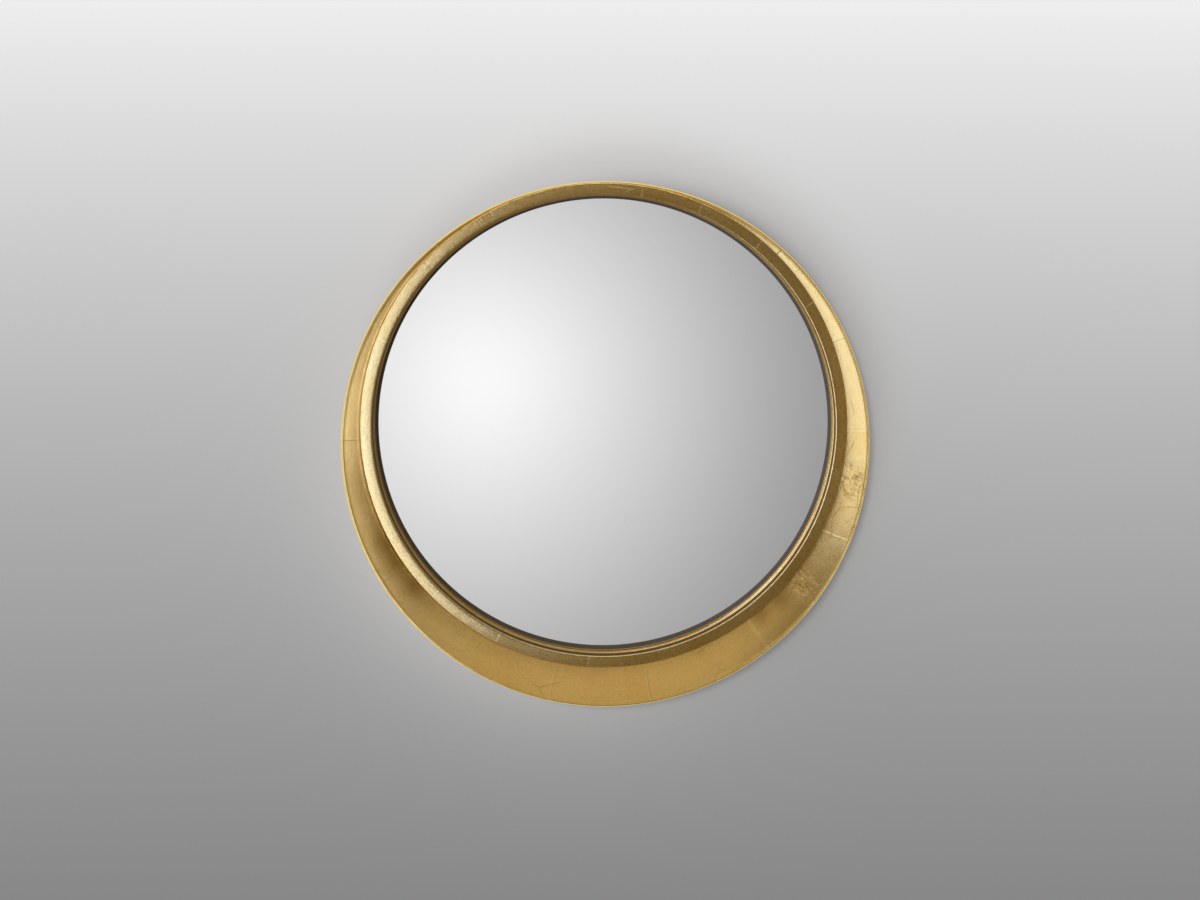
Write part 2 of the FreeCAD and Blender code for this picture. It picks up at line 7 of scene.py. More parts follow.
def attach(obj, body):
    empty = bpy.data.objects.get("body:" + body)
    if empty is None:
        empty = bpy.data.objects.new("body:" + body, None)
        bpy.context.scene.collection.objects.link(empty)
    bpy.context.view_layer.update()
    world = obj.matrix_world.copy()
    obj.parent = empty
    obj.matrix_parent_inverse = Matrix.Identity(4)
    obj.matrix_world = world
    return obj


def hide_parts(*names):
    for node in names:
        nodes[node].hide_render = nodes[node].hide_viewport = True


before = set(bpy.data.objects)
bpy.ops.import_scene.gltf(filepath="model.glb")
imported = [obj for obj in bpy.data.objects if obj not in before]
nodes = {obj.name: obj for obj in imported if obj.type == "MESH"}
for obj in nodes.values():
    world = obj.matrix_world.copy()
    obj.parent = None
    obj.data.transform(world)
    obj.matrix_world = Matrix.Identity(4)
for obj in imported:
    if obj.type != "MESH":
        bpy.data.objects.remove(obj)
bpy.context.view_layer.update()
bpy.context.scene.view_settings.view_transform = "Standard"
mm = 0.001
fullTurn = 2 * math.pi

# how finely the pieces are cut
steps = {
    "turn": 540, "arc": 7, "hollow": 22, "round": 8, "side": 5,
    "glassRings": 64, "glassTurn": 384, "search": 30,
}


def arcPoints(start, end, bend, count):
    # the shorter arc from start to end, without its last point; a positive bend turns left
    chord = end - start
    left = Vector((-chord.y, chord.x)).normalized()
    rise = math.sqrt(bend * bend - chord.length_squared / 4)
    centre = (start + end) / 2 + left * rise * (1 if bend > 0 else -1)
    first = math.atan2(start.y - centre.y, start.x - centre.x)
    sweep = 2 * math.asin(chord.length / 2 / abs(bend)) * (1 if bend > 0 else -1)
    angles = [first + sweep * number / count for number in range(count)]
    return [centre + abs(bend) * Vector((math.cos(a), math.sin(a))) for a in angles]


def outline(corners, arcSteps):
    # corners are (radius, depth), or (radius, depth, bend) where an arc leads on
    points = []
    for number, (radius, depth, *bend) in enumerate(corners):
        start = Vector((radius, depth))
        end = Vector(corners[(number + 1) % len(corners)][:2])
        points += arcPoints(start, end, bend[0], arcSteps) if bend else [start]
    return points


def newMesh(name, vertices, faces, sharpAngle=38):
    mesh = bpy.data.meshes.new(name)
    mesh.from_pydata(vertices, [], faces)
    mesh.validate()
    mesh.shade_smooth()
    mesh.set_sharp_from_angle(angle=math.radians(sharpAngle))
    piece = bpy.data.objects.new(name, mesh)
    bpy.context.scene.collection.objects.link(piece)
    return piece


def lathe(name, sectionAt):
    # joins the sections at each turn into a closed ring about the ring's own axis
    turns = steps["turn"]
    vertices, faces = [], []
    for number in range(turns):
        turn = fullTurn * number / turns
        for radius, depth in sectionAt(turn):
            x, z = radius * math.sin(turn), ring["height"] + radius * math.cos(turn)
            vertices.append((x * mm, -depth * mm, z * mm))
    count = len(vertices) // turns
    for number in range(turns):
        here, there = number * count, (number + 1) % turns * count
        for point in range(count):
            after = (point + 1) % count
            faces.append((here + point, there + point, there + after, here + after))
    return newMesh(name, vertices, faces)


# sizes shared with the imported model, in millimetres; depth is measured out from the wall
dish = {
    "radius": 300.0,
    "back": 8.0,
    "rim": 56.0,
    "rimRound": 2.4,
    "rimWidth": 4.6,
    "rimStep": 0.7,
    "reach": 62.0,
    "drop": 15.2,
    "curve": 240.0,  # radius of the hollow's section
    "sideTaper": 2.5,
    "backRound": 1.5,
    "rebate": 271.0,
    "bore": 263.5,
    "boardFront": 11.0,
    "seat": 30.0,
    "pocket": 271.2,
    "knee": 44.0,
    "lean": 0.4,  # of the pocket's flare, outwards for each millimetre of depth
    "flareSpan": 6.0,  # how far out the flare may meet the hollow
    "kneeDrop": 0.4,  # least height of the flare, as where the front is narrowest
    "frontShare": 0.3,  # least share of the front, from the ring out, before the rim's round
}


def makeDish():
    radius, rim = dish["radius"], dish["rim"]
    rimInner = radius - dish["rimWidth"]
    roundStart = radius - dish["rimRound"]
    hollowOut = Vector((rimInner, rim - dish["rimStep"]))
    hollowIn = Vector((radius - dish["reach"], rim - dish["drop"]))
    chord = hollowIn - hollowOut
    rise = math.sqrt(dish["curve"] ** 2 - chord.length_squared / 4)
    middle = (hollowIn + hollowOut) / 2
    centre = middle + Vector((chord.y, -chord.x)).normalized() * rise

    def surface(r):  # depth of the dish's front at a radius from its own centre
        if r <= rimInner:
            return centre.y - math.sqrt(dish["curve"] ** 2 - (r - centre.x) ** 2)
        if r <= roundStart:
            share = (r - rimInner) / (roundStart - rimInner)
            return rim - dish["rimStep"] * (1 - share)
        return rim - dish["rimRound"] + math.sqrt(
            max(0.0, dish["rimRound"] ** 2 - (r - roundStart) ** 2))

    side = outline([
        (radius, rim - dish["rimRound"]),
        (radius - dish["sideTaper"], dish["back"] + dish["backRound"], -dish["backRound"]),
        (radius - dish["sideTaper"] - dish["backRound"], dish["back"]),
    ], steps["side"])

    def section(turn):
        offset = ring["height"]

        def fromRing(r):  # a circle about the dish's centre, seen from the ring's centre
            return math.sqrt(r * r - (offset * math.sin(turn)) ** 2) - offset * math.cos(turn)

        def toDish(rho):
            return math.sqrt(rho * rho + 2 * rho * offset * math.cos(turn) + offset * offset)

        low, high = dish["pocket"], dish["pocket"] + dish["flareSpan"]
        if surface(toDish(low)) > dish["knee"]:
            for attempt in range(steps["search"]):
                rho = (low + high) / 2
                flare = dish["knee"] + (rho - dish["pocket"]) / dish["lean"]
                if surface(toDish(rho)) > flare:
                    low = rho
                else:
                    high = rho
        start = toDish(low)
        edge = surface(start)
        knee = min(dish["knee"], edge - dish["kneeDrop"])
        points = [
            (dish["rebate"], dish["back"]), (dish["rebate"], dish["boardFront"]),
            (dish["bore"], dish["boardFront"]), (dish["bore"], dish["seat"]),
            (dish["pocket"], dish["seat"]), (dish["pocket"], knee),
        ]
        turnOver = max(roundStart, start + dish["frontShare"] * (radius - start))
        for number in range(steps["hollow"]):
            r = start + (turnOver - start) * number / steps["hollow"]
            points.append((fromRing(r), surface(r)))
        first = math.acos((turnOver - roundStart) / dish["rimRound"])
        for number in range(steps["round"] + 1):
            angle = first * (1 - number / steps["round"])
            r = roundStart + dish["rimRound"] * math.cos(angle)
            points.append((fromRing(r), rim + dish["rimRound"] * (math.sin(angle) - 1)))
        points += [(fromRing(point.x), point.y) for point in side[1:]]
        return points

    return lathe("dishGilded", section)


ring = {
    "height": 22.5,  # of its centre, above the dish's centre
    "radius": 276.0,
    "front": 57.5,
    "arris": 1.0,
    "bandWidth": 11.9,
    "bandRise": 2.2,
    "crown": 60.0,
    "throatArris": 1.7,
    "throatTaper": 0.2,
    "shoulder": 41.8,  # of its rebate, which holds the slip and the glass
    "foot": 271.0,
}
throatWall = ring["radius"] - ring["bandWidth"] - ring["throatArris"] - ring["throatTaper"]


def makeRing():
    arris, throatArris = ring["arris"], ring["throatArris"]
    bandInner = ring["radius"] - ring["bandWidth"]
    bandTop = ring["front"] + ring["bandRise"]
    mouth = bandInner - throatArris
    points = outline([
        (dish["bore"], dish["seat"]),
        (ring["foot"], dish["seat"]),
        (ring["foot"], dish["knee"]),
        (ring["radius"], ring["front"] - arris, arris),
        (ring["radius"] - arris, ring["front"], ring["crown"]),
        (bandInner, bandTop, throatArris),
        (mouth, bandTop - throatArris),
        (throatWall, ring["shoulder"]),
        (dish["bore"], ring["shoulder"]),
    ], steps["arc"])
    return lathe("ringGilded", lambda turn: points)


slip = {"sight": 260.4, "outer": 263.4, "front": 41.7, "arris": 1.6, "taper": 0.8, "felt": 1.0}
glass = {"radius": 262.5, "curve": 2000.0, "thickness": 4.0, "seat": 38.5}


def glassFace(radius, behind=0.0):
    # depth of the glass at a radius, on its front or on a face that lies parallel behind it
    curve = glass["curve"]
    apex = glass["seat"] + curve - math.sqrt(curve ** 2 - slip["sight"] ** 2)
    return apex - curve + math.sqrt((curve - behind) ** 2 - radius ** 2)


def makeSlip():
    sight, outer, front, arris = slip["sight"], slip["outer"], slip["front"], slip["arris"]
    crest = sight + slip["taper"]
    points = outline([
        (sight, glassFace(sight) + slip["felt"]),
        (outer, glassFace(outer) + slip["felt"]),
        (outer, front),
        (crest + arris, front, arris),
        (crest, front - arris),
    ], steps["arc"])
    return lathe("slipGilded", lambda turn: points)


def makeGlass():
    rings, turns, thick = steps["glassRings"], steps["glassTurn"], glass["thickness"]
    vertices = [(0, -glassFace(0) * mm, ring["height"] * mm)]
    radii = [glass["radius"] * (number + 1) / rings for number in range(rings)]
    rows = [(r, glassFace(r)) for r in radii] + [(r, glassFace(r, thick)) for r in reversed(radii)]
    for r, depth in rows:
        for number in range(turns):
            turn = fullTurn * number / turns
            x, z = r * math.sin(turn), ring["height"] + r * math.cos(turn)
            vertices.append((x * mm, -depth * mm, z * mm))
    vertices.append((0, -glassFace(0, thick) * mm, ring["height"] * mm))
    last = len(vertices) - 1
    faces = []
    for number in range(turns):
        after = (number + 1) % turns
        faces.append((0, 1 + after, 1 + number))
        for row in range(len(rows) - 1):
            here, there = 1 + row * turns, 1 + (row + 1) * turns
            faces.append((here + number, here + after, there + after, there + number))
        base = 1 + (len(rows) - 1) * turns
        faces.append((base + number, base + after, last))
    return newMesh("glassSilvered", vertices, faces)


class Link:
    # a socket that adds its own Math nodes when it is used in a sum

    def __init__(self, shade, socket):
        self.shade, self.socket = shade, socket

    def __add__(self, other):
        return self.shade.maths("ADD", self, other)

    def __sub__(self, other):
        return self.shade.maths("SUBTRACT", self, other)

    def __rsub__(self, other):
        return self.shade.maths("SUBTRACT", other, self)

    def __mul__(self, other):
        return self.shade.maths("MULTIPLY", self, other)

    def __truediv__(self, other):
        return self.shade.maths("DIVIDE", self, other)

    __radd__, __rmul__ = __add__, __mul__

    def power(self, exponent):
        return self.shade.maths("POWER", self, exponent)

    def sine(self):
        return self.shade.maths("SINE", self)

    def least(self, other):
        return self.shade.maths("MINIMUM", self, other)

    def most(self, other):
        return self.shade.maths("MAXIMUM", self, other)

    def hypot(self, other):
        return (self * self + other * other).power(0.5)

    def between(self, low, high, start=0.0, end=1.0):
        # a smooth step from start at low to end at high
        settings = {"interpolation_type": "SMOOTHSTEP"}
        inputs = {"Value": self, "From Min": low, "From Max": high, "To Min": start, "To Max": end}
        return self.shade.node("ShaderNodeMapRange", settings, inputs)


class Shader:
    # a node tree that is being written

    def __init__(self, tree):
        self.tree = tree
        tree.nodes.clear()

    def node(self, kind, settings=None, inputs=None, output=0):
        made = self.tree.nodes.new(kind)
        for key, value in (settings or {}).items():
            setattr(made, key, value)
        for key, value in (inputs or {}).items():
            if isinstance(value, Link):
                self.tree.links.new(value.socket, made.inputs[key])
            else:
                made.inputs[key].default_value = value
        return Link(self, made.outputs[output]) if len(made.outputs) else made

    def maths(self, operation, *values):
        return self.node("ShaderNodeMath", {"operation": operation}, dict(enumerate(values)))

    def mixed(self, first, second, share):
        inputs = {0: share, 6: rgba(first), 7: rgba(second)}
        return self.node("ShaderNodeMix", {"data_type": "RGBA"}, inputs, 2)

    def place(self):
        return self.node("ShaderNodeTexCoord", output="Object")

    def parts(self, vector):
        return [self.node("ShaderNodeSeparateXYZ", None, {0: vector}, axis) for axis in range(3)]

    def joined(self, x, y, z):
        return self.node("ShaderNodeCombineXYZ", None, {0: x, 1: y, 2: z})

    def grain(self, vector, scale, detail=3.0, roughness=0.55, distortion=0.0):
        inputs = {
            "Vector": vector, "Scale": scale, "Detail": detail,
            "Roughness": roughness, "Distortion": distortion,
        }
        return self.node("ShaderNodeTexNoise", {"noise_dimensions": "3D"}, inputs)

    def cells(self, vector, scale, feature="F1"):
        inputs = {"Vector": vector, "Scale": scale, "Randomness": 1.0}
        return self.node("ShaderNodeTexVoronoi", {"feature": feature}, inputs)

    def chance(self, value):
        return self.node("ShaderNodeTexWhiteNoise", {"noise_dimensions": "1D"}, {"W": value})

    def bump(self, height, distance, strength=1.0, normal=None):
        inputs = {"Height": height, "Distance": distance, "Strength": strength}
        if normal:
            inputs["Normal"] = normal
        return self.node("ShaderNodeBump", None, inputs)

    def finish(self, **values):
        inputs = {key.replace("_", " "): value for key, value in values.items()}
        surface = self.node("ShaderNodeBsdfPrincipled", None, inputs)
        self.node("ShaderNodeOutputMaterial", None, {"Surface": surface})


def rgba(colour):
    if isinstance(colour, Link) or len(colour) == 4:
        return colour
    return (*colour, 1.0)


def newFinish(name):
    material = bpy.data.materials.new(name)
    material.use_nodes = True
    return material, Shader(material.node_tree)


leaf = {
    "gold": (0.73, 0.445, 0.12),
    "deep": (0.62, 0.34, 0.07),
    "pale": (0.80, 0.53, 0.18),
    "shadow": (0.40, 0.21, 0.04),
    "edge": (0.93, 0.78, 0.50),  # tint of the leaf where it is seen edge on
    "rubbedAndHighlight": (1.0, 0.72, 0.20),  # leaf burnished bright on the rim, and a painted highlight where the rim's round catches the light
    "grooveShadeColour": (0.03, 0.016, 0.006),  # painted shade: dark brown in the throat and at the ring's foot
    "roughness": 0.17,
    "round": 285.0,  # mean radius of the gilding, which gives the leaves' pitch
    "seam": 0.9,  # width of the line where a leaf ends, in millimetres
    "overlap": 3.2,  # of one leaf over the next
    "lapEdge": 0.6,  # over which the overlap fades
}
# share of the colour that each mark brings in; the marks beside the ring, in the grooves and in the
# creases are painted shade, and the rim's bright mark is partly a painted highlight
leafShares = {
    "gold": 0.55, "tone": 0.5, "nextTone": 0.36, "double": 0.42, "speck": 0.2, "line": 0.75,
    "shadeBesideRing": 0.8, "wearAndHighlight": 0.85, "grooveShade": 0.93, "crumple": 0.9,
}
# height of each relief, in metres
leafRelief = {
    "swell": 0.0004, "around": 0.00016, "outward": 0.00013, "folds": 0.00005, "laps": 0.00011,
    "crumple": 0.0003,
}
# share of its reach over which a mark is at full strength
leafCores = {"rubAndHighlight": 0.35, "groove": 0.3, "crumple": 0.2}


def gilding(name, height, leaves, seed, strokes, rubsAndHighlight=(), grooves=(), crumples=(), shadeBesideRing=()):
    # leaf laid round a centre at this height; marks round a ring are (radius, depth, reach) in mm:
    # the rim's rubbed leaf with a painted highlight, and painted shade in the grooves; marks at a
    # spot are (across, up, reach): crumples, where the leaf fell in folds, with painted shade in
    # their creases, and painted shade beside the ring
    material, shade = newFinish(name)
    spot = shade.place()
    x, y, z = shade.parts(spot)
    across, up, out = x / mm, z / mm - height, y * (-1 / mm)
    radius = across.hypot(up)
    angle = shade.maths("ARCTAN2", across, up)

    def fromRing(ringRadius, depth):
        return (radius - ringRadius).hypot(out - depth)

    def fromSpot(spotAcross, spotUp):
        return (across - spotAcross).hypot(up + (height - spotUp))

    def strongest(places, distance, core):
        # 1 at some places, falling to 0 at the reach of each
        found = None
        for first, second, reach in places:
            mark = distance(first, second).between(reach * core, reach, 1.0, 0.0)
            found = mark if found is None else found.most(mark)
        return found

    # laps wander, so that no two leaves are of one width
    wander = shade.grain(spot, 55, 2) - 0.5
    lap = angle * (leaves / fullTurn) + (angle * 3 + seed).sine() * 0.16
    lap = lap + (angle * 7 + seed * 2).sine() * 0.05 + wander * 0.02 + 0.37
    whole = shade.maths("FLOOR", lap)
    part = lap - whole
    tone = shade.chance(whole + seed)
    nextTone = shade.chance(whole + (seed + 7.3))
    pitch = fullTurn * leaf["round"] / leaves
    seam = part.between(0.0, leaf["seam"] / pitch, 1.0, 0.0)
    overlap, lapEdge = leaf["overlap"], leaf["lapEdge"]
    double = part.between((overlap - lapEdge) / pitch, overlap / pitch, 1.0, 0.0)
    # colour
    shares = leafShares
    cloud = shade.grain(spot, 17, 4, 0.6)
    colour = shade.mixed(leaf["deep"], leaf["pale"], cloud.between(0.25, 0.75))
    colour = shade.mixed(colour, leaf["gold"], shares["gold"])
    colour = shade.mixed(colour, leaf["deep"], tone * shares["tone"])
    paleness = nextTone * shares["nextTone"] + double * shares["double"]
    colour = shade.mixed(colour, leaf["pale"], paleness)
    speck = shade.grain(spot, 420, 3, 0.7)
    colour = shade.mixed(colour, leaf["deep"], speck.between(0.5, 0.78) * shares["speck"])
    # fine strokes of the gilder's tip, out from the centre and round it
    along = angle * leaf["round"]
    outward = shade.grain(shade.joined(along, radius * 0.16, out * 0.16), 1.5, 3, 0.65)
    around = shade.grain(shade.joined(angle * 30, radius, out), 1.3, 3, 0.65)
    shadow = outward.between(0.48, 0.66) * 0.6 + around.between(0.48, 0.68) * 0.45
    colour = shade.mixed(colour, leaf["shadow"], shadow * strokes)
    # hairline tears where the leaf broke
    flat = shade.joined(angle * 3.1, radius * 0.021, out * 0.021)
    torn = shade.cells(flat, 2.4, "DISTANCE_TO_EDGE").between(0.0, 0.012, 1.0, 0.0)
    torn = torn * shade.grain(spot, 24, 2).between(0.52, 0.62)
    line = (seam * 0.8).most(torn * 0.6)
    colour = shade.mixed(colour, leaf["shadow"], line * shares["line"])
    # painted shade on the dish beside the ring, standing in for the ring's dark reflection and shadow
    # there
    for spotAcross, spotUp, reach in shadeBesideRing:
        besideRingShade = fromSpot(spotAcross, spotUp).between(0, reach, shares["shadeBesideRing"], 0.0)
        colour = shade.mixed(colour, leaf["shadow"], besideRingShade)
    # the rim's round: rubbed leaf, and a painted highlight where the round catches the light
    if rubsAndHighlight:
        wearAndHighlight = strongest(rubsAndHighlight, fromRing, leafCores["rubAndHighlight"])
        wearAndHighlight = wearAndHighlight * shade.grain(spot, 130, 3).between(0.2, 0.55, 0.55, 1.0)
        colour = shade.mixed(colour, leaf["rubbedAndHighlight"], wearAndHighlight * shares["wearAndHighlight"])
    metal, rough = 1.0, leaf["roughness"] + (cloud - 0.5) * 0.08 + (speck - 0.5) * 0.1
    # painted shade in the throat and at the ring's foot, where the leaf is also made less metallic
    # and rougher
    if grooves:
        grooveShade = strongest(grooves, fromRing, leafCores["groove"])
        colour = shade.mixed(colour, leaf["grooveShadeColour"], grooveShade * shares["grooveShade"])
        metal = 1 - grooveShade * 0.9
        rough = rough + grooveShade * 0.75
    rough = rough + line * 0.12 - double * 0.02
    # relief: the ground's swell, the maker's strokes, crinkled leaf and the step of each lap
    relief = leafRelief
    folds = shade.grain(spot, 260, 4, 0.62, 0.8)
    swell = shade.grain(spot, 26, 2, 0.4)
    normal = shade.bump(swell, relief["swell"])
    normal = shade.bump(around, relief["around"] * strokes, 0.8, normal)
    normal = shade.bump(outward, relief["outward"] * strokes, 0.8, normal)
    normal = shade.bump(folds, relief["folds"], 0.8, normal)
    normal = shade.bump(seam + torn * 0.6 - double * 0.3, relief["laps"], 0.9, normal)
    if crumples:
        creases = shade.grain(spot, 150, 5, 0.7, 2.2)
        crumpled = strongest(crumples, fromSpot, leafCores["crumple"])
        crumpled = crumpled * shade.grain(spot, 70, 3).between(0.35, 0.6)
        normal = shade.bump(creases * crumpled, relief["crumple"], 1.0, normal)
        # painted shade in the creases of the crumpled leaf
        dark = crumpled * creases.between(0.42, 0.56) * shares["crumple"]
        colour = shade.mixed(colour, leaf["shadow"], dark)
    shade.finish(Base_Color=colour, Metallic=metal, Roughness=rough, Normal=normal,
                 Specular_Tint=rgba(leaf["edge"]))
    return material


def backPaint():
    # bole brushed over raw wood on the back of the dish
    material, shade = newFinish("bolePaint")
    spot = shade.place()
    x, y, z = shade.parts(spot)
    long = shade.joined(x, y * 4, z * 9)
    grain = shade.grain(long, 60, 4, 0.6, 0.4)
    brush = shade.grain(shade.joined(x * 0.6, y, z * 5), 130, 3)
    thin = shade.grain(spot, 20, 3).between(0.45, 0.7)
    colour = shade.mixed((0.105, 0.050, 0.024), (0.16, 0.082, 0.040), grain)
    colour = shade.mixed(colour, (0.26, 0.17, 0.095), thin * 0.45)
    normal = shade.bump(brush, 0.0002, 0.7)
    normal = shade.bump(grain, 0.0003, 0.6, normal)
    rough = 0.62 + (brush - 0.5) * 0.3
    shade.finish(Base_Color=colour, Roughness=rough, Normal=normal)
    return material


def silvering():
    material, shade = newFinish("silveredGlass")
    spot = shade.place()
    haze = shade.grain(spot, 9, 3)
    dust = shade.grain(spot, 900, 2, 0.8).between(0.7, 0.8)
    colour = shade.mixed((0.985, 0.985, 0.985), (0.975, 0.975, 0.975), haze)
    rough = 0.012 + haze * 0.012 + dust * 0.03
    shade.finish(Base_Color=colour, Metallic=1.0, Roughness=rough)
    return material


def glassEdge():
    # the silvering's lacquer behind, and the green of the cut edge
    material, shade = newFinish("glassBacking")
    spot = shade.place()
    mottle = shade.grain(spot, 70, 3)
    colour = shade.mixed((0.10, 0.12, 0.115), (0.15, 0.17, 0.16), mottle)
    normal = shade.bump(mottle, 0.0002, 0.5)
    shade.finish(Base_Color=colour, Roughness=0.45, Normal=normal)
    return material


def plated(name, colour, worn, roughness, scale=300):
    material, shade = newFinish(name)
    spot = shade.place()
    scratch = shade.grain(spot, scale, 5, 0.65, 1.5)
    cloud = shade.grain(spot, scale / 8, 3)
    tint = shade.mixed(colour, worn, cloud.between(0.35, 0.75) * 0.7)
    tint = shade.mixed(tint, worn, scratch.between(0.6, 0.75) * 0.6)
    rough = roughness + (cloud - 0.5) * 0.16 + scratch.between(0.55, 0.75) * 0.1
    normal = shade.bump(scratch, 0.00004, 0.7)
    shade.finish(Base_Color=tint, Metallic=1.0, Roughness=rough, Normal=normal)
    return material


def board(name, light, dark, fibre, gloss):
    material, shade = newFinish(name)
    spot = shade.place()
    x, y, z = shade.parts(spot)
    long = shade.grain(shade.joined(x, y, z * 7), fibre, 5, 0.65, 0.6)
    short = shade.grain(spot, fibre * 6, 3, 0.7)
    flake = shade.cells(shade.joined(x, y, z * 2.5), fibre * 2)
    colour = shade.mixed(dark, light, long.between(0.3, 0.7))
    colour = shade.mixed(colour, dark, short.between(0.52, 0.72) * 0.5)
    colour = shade.mixed(colour, light, flake.between(0.0, 0.35, 0.35, 0.0))
    normal = shade.bump(short, 0.00012, 0.6)
    normal = shade.bump(long, 0.0001, 0.6, normal)
    rough = gloss + (long - 0.5) * 0.2
    shade.finish(Base_Color=colour, Roughness=rough, Normal=normal)
    return material


def soft(name, colour, pale, scale, relief, roughness=0.9):
    material, shade = newFinish(name)
    spot = shade.place()
    fluff = shade.grain(spot, scale, 5, 0.7)
    pore = shade.cells(spot, scale * 1.6)
    tint = shade.mixed(colour, pale, fluff.between(0.35, 0.75))
    tint = shade.mixed(tint, colour, pore.between(0.05, 0.3, 0.6, 0.0))
    normal = shade.bump(pore, relief, 0.8)
    normal = shade.bump(fluff, relief, 0.7, normal)
    rough = roughness - fluff * 0.12
    shade.finish(Base_Color=tint, Roughness=rough, Normal=normal)
    return material


def dress(piece, nodeName, slotName, *materials):
    for material in materials:
        piece.data.materials.append(material)
    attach(piece, "frame")
    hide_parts(nodeName)


def paint(nodeName, material):
    mesh = nodes[nodeName].data
    mesh.materials.clear()
    mesh.materials.append(material)


dishLeaf = {
    "leaves": 14, "seed": 2.0, "strokes": 0.45,
    # the rim's rubbed leaf with a painted highlight, crumples with painted shade in their creases,
    # and painted shade beside the ring
    "rubsAndHighlight": [(dish["radius"] - 0.5, dish["rim"] - 0.8, 2.8)],
    "crumples": [(275, -62, 30), (212, -176, 26), (-238, -30, 16)],
    "shadeBesideRing": [(-255, -91, 28), (-244, -113, 28), (-229, -138, 26), (160, -206, 22),
                (183, -188, 26)],
}
dishPiece = makeDish()
dishGilt = gilding("giltDish", 0.0, **dishLeaf)
dress(dishPiece, "crescent_dish", "gilt_dish", dishGilt, backPaint())
backLine = -(dish["back"] + 0.4) * mm  # the flat back, and all that lies behind this depth
boreFront = -35 * mm  # the bore and the rebate, up to this depth
for face in dishPiece.data.polygons:
    inside = math.hypot(face.center.x, face.center.z - ring["height"] * mm) < dish["rebate"] * mm
    if face.center.y > backLine or (inside and face.center.y > boreFront):
        face.material_index = 1
print("dish made")

ringFoot = ring["foot"]
ringLeaf = {
    "leaves": 20, "seed": 5.0, "strokes": 1.0,
    # painted shade down the throat, and up the outer wall from the foot
    "grooves": [(throatWall, depth, 5.0) for depth in (48.5, 52, 55.5)]
    + [(ringFoot + 0.3, 45, 6.0), (ringFoot + 2.4, 50, 5.0), (ringFoot + 3.6, 53, 4.0)],
}
ringPiece = makeRing()
dress(ringPiece, "ring_moulding", "gilt_ring", gilding("giltRing", ring["height"], **ringLeaf))
slipLeaf = {"leaves": 18, "seed": 9.0, "strokes": 0.6}
slipPiece = makeSlip()
dress(slipPiece, "sight_slip", "gilt_slip", gilding("giltSlip", ring["height"], **slipLeaf))
print("ring and slip made")

glassPiece = makeGlass()
dress(glassPiece, "convex_glass", "mirror_glass", silvering(), glassEdge())
frontFacing = -0.5  # the front's normals all lie below this
for face in glassPiece.data.polygons:
    if face.normal.y > frontFacing:
        face.material_index = 1
print("glass made")

zinc = plated("zincPlate", (0.62, 0.63, 0.62), (0.40, 0.41, 0.42), 0.34)
steel = plated("steelScrew", (0.56, 0.56, 0.55), (0.30, 0.30, 0.30), 0.3, 500)
brass = plated("brassPlate", (0.66, 0.48, 0.22), (0.40, 0.27, 0.11), 0.3)
finishes = {
    "rebate_felt": soft("blackFelt", (0.006, 0.006, 0.006), (0.03, 0.03, 0.03), 900, 0.0002),
    "edge_packers": soft("rawCork", (0.30, 0.18, 0.09), (0.48, 0.31, 0.17), 600, 0.0003),
    "foam_ring": soft("greyFoam", (0.08, 0.08, 0.085), (0.14, 0.14, 0.145), 1200, 0.0002),
    "retaining_ring": board("birchPly", (0.56, 0.40, 0.24), (0.36, 0.23, 0.12), 40, 0.6),
    "backboard": board("hardboard", (0.20, 0.115, 0.06), (0.115, 0.06, 0.03), 90, 0.55),
}
for nodeName in nodes:
    if nodeName.startswith("turn_button_") and not nodeName.endswith("screws"):
        finishes[nodeName] = zinc
    elif nodeName.endswith("_screws"):
        finishes[nodeName] = steel
    elif nodeName.startswith(("hanger_strap", "d_ring")):
        finishes[nodeName] = brass
    elif nodeName.startswith("wall_bumper"):
        finishes[nodeName] = soft("bumperRubber", (0.012, 0.012, 0.012), (0.03, 0.03, 0.03), 700,
                                  0.00008, 0.7)
for nodeName, material in finishes.items():
    paint(nodeName, material)
print("hardware and boards painted")


studio = {
    "distance": 3.2,  # camera to the dish
    "sensor": 36.0,
    "side": -0.85,  # camera angles in degrees
    "lift": 6.8,
    "roll": 4.6,
    "pixel": 0.001134,  # metres across one pixel of the photograph, at the dish
    "dishAt": (605.9, 447.0),  # where the dish's centre comes in the picture
    "photo": (1200, 900),
    "glow": (9.2, 187.0),  # the lamp seen in the glass: degrees off axis, and round from +X
    "glowCore": (8.0, 0.101),  # spread in degrees, and level
    "glowHalo": (24.0, 0.591),
    "glowFar": (30.0, 34.0),  # its distance and half width in metres
    "fill": 0.254,
    "fillAcross": -0.087,
    "behind": (85.0, 108.0),  # where the pale wall behind begins, in degrees off axis
    "tilt": (-0.6, 0.8),  # across and up, of the step between the dim and the bright side
    "paper": 0.80,  # grey that the camera sees past the wall
    "lampDistance": 2.6,  # of all lamps but the glow, in metres
    "wallTone": 0.565,  # of the wall's paint under its lamps
    "wallEven": 0.38,  # share of the wall's grey that no shadow dims
    "wallFall": (0.04, 0.403, 1.34, 0.86),  # its grey: base, scale and rate over height, and most
    # painted light and painted shadows beside the dish: degrees from +X, narrowness, reach in mm,
    # share, grey
    "paintedWallLight": [(225, 1, 60, 0.19, 1.0), (45, 4, 14, 0.45, 0.0), (306, 4, 10, 0.42, 0.0)],
    "dimSides": (0.2, 1.1),  # level of the walls to the lower right, and to the upper left
    "sides": (48.0, 85.0, 1.0),  # where the room brightens, in degrees off axis, and to what level
}
